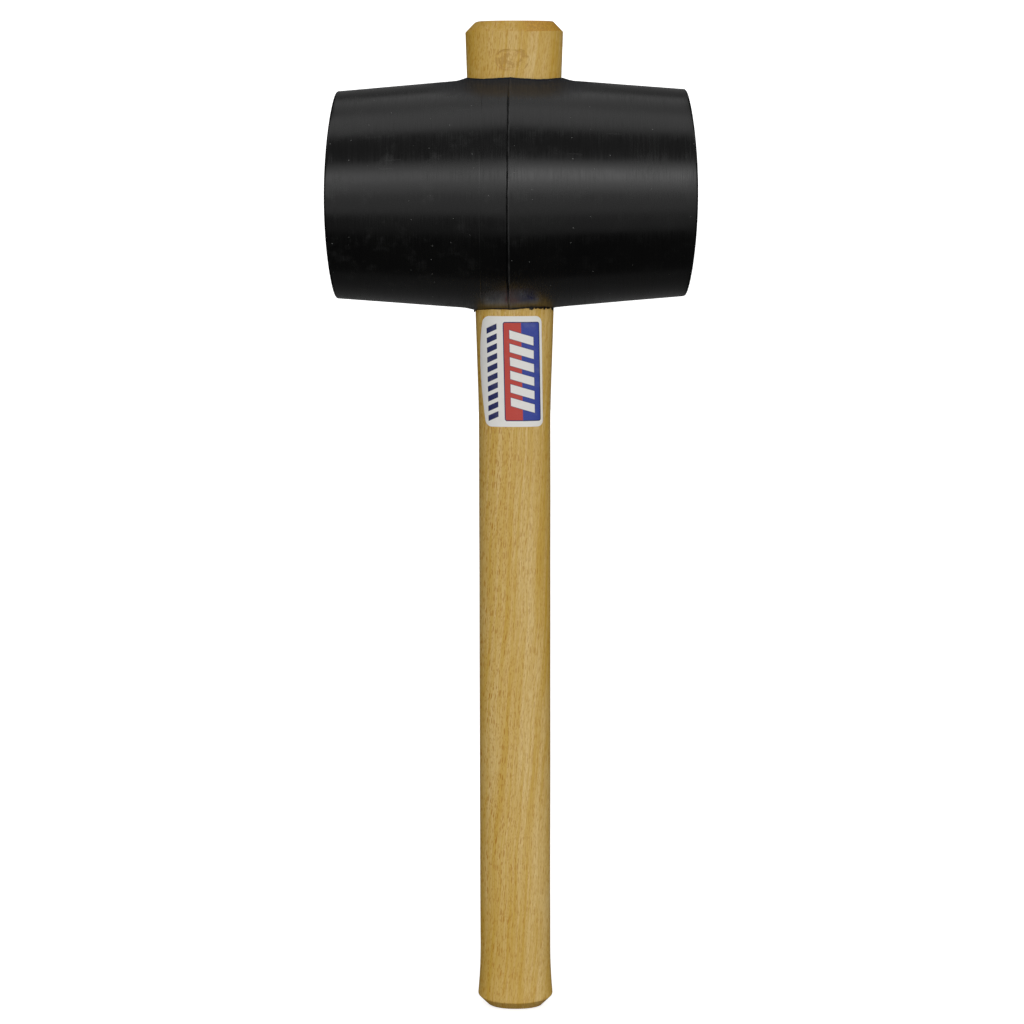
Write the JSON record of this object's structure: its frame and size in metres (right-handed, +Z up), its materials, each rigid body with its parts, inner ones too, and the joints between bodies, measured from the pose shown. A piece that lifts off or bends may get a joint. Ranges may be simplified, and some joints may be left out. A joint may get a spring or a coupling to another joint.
{
  "type": "rubber mallet",
  "caption": "Mallet with a solid black rubber barrel-shaped head driven onto the tapered top of an oval beech handle, with a printed label below the head.",
  "frame": {"origin": "centre of the flat end of the handle's butt", "axes": "+Z up the handle towards the head, +X along the head towards one striking face, -Y out of the front that carries the label"},
  "size_m": [0.1424, 0.0896, 0.3877],
  "materials": {
    "head_rubber": "smooth moulded black rubber, semi-gloss",
    "handle_beech": "sanded beech, thin clear satin coat",
    "label_film": "printed self-adhesive film, satin"
  },
  "bodies": {
    "root": {"head": "head_rubber", "handle": "handle_beech", "label": "label_film"}
  },
  "joints": []
}
